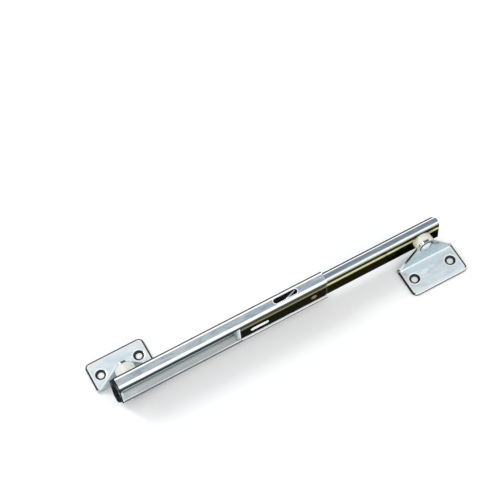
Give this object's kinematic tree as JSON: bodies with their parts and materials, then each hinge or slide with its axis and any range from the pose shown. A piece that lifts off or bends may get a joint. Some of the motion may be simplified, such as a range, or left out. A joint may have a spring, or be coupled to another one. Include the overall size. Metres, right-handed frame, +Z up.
{
  "type": "lid stay",
  "caption": "Telescopic lid stay: an inner rail slides in a lipped outer rail, each end riveted to a folded bracket that turns, with a sprung catch.",
  "frame": {"origin": "on the box bracket's mounting face, midway between its two screw holes", "axes": "+X along the rails from the box bracket to the lid bracket, +Z up, away from the mounting faces of both brackets"},
  "size_m": [0.2749, 0.0705, 0.0312],
  "materials": {
    "outer_zinc": "bright zinc plate, blue passivated",
    "inner_zinc": "bright zinc plate with a faint yellow tint",
    "bracket_zinc": "bright zinc plate, blue passivated",
    "rivet_zinc": "bright zinc plate",
    "catch_zinc": "zinc plate",
    "spring_steel": "plain spring steel",
    "nylon": "natural nylon, satin"
  },
  "bodies": {
    "box_side": {"box_bracket": "bracket_zinc"},
    "outer": {"outer_rail": "outer_zinc", "box_pivot_rivet": "rivet_zinc", "box_nylon_ring": "nylon"},
    "inner": {"inner_rail": "inner_zinc", "rail_glide": "nylon", "lid_pivot_rivet": "rivet_zinc", "lid_nylon_ring": "nylon", "catch_rivet": "rivet_zinc", "catch_spring": "spring_steel"},
    "lid_side": {"lid_bracket": "bracket_zinc"},
    "catch": {"catch_lever": "catch_zinc"}
  },
  "joints": [
    {"name": "box_pivot", "type": "hinge", "parent": "box_side", "child": "outer", "pos_m": [0, -0.0116, 0.02], "axis": [0, 1, 0], "continuous": true},
    {"name": "rail_slide", "type": "slide", "parent": "outer", "child": "inner", "axis": [1, 0, 0], "range_m": [-0.054, 0.0015]},
    {"name": "lid_pivot", "type": "hinge", "parent": "inner", "child": "lid_side", "pos_m": [0.2295, -0.0345, 0.02], "axis": [0, 1, 0], "continuous": true},
    {"name": "catch_pivot", "type": "hinge", "parent": "inner", "child": "catch", "pos_m": [0.1415, -0.0252, 0.0148], "axis": [0, 1, 0], "range_deg": [-8, 0], "stiffness_Nm_per_rad": 0.05, "springref_deg": 11.46, "deforming": ["catch_spring"]}
  ]
}
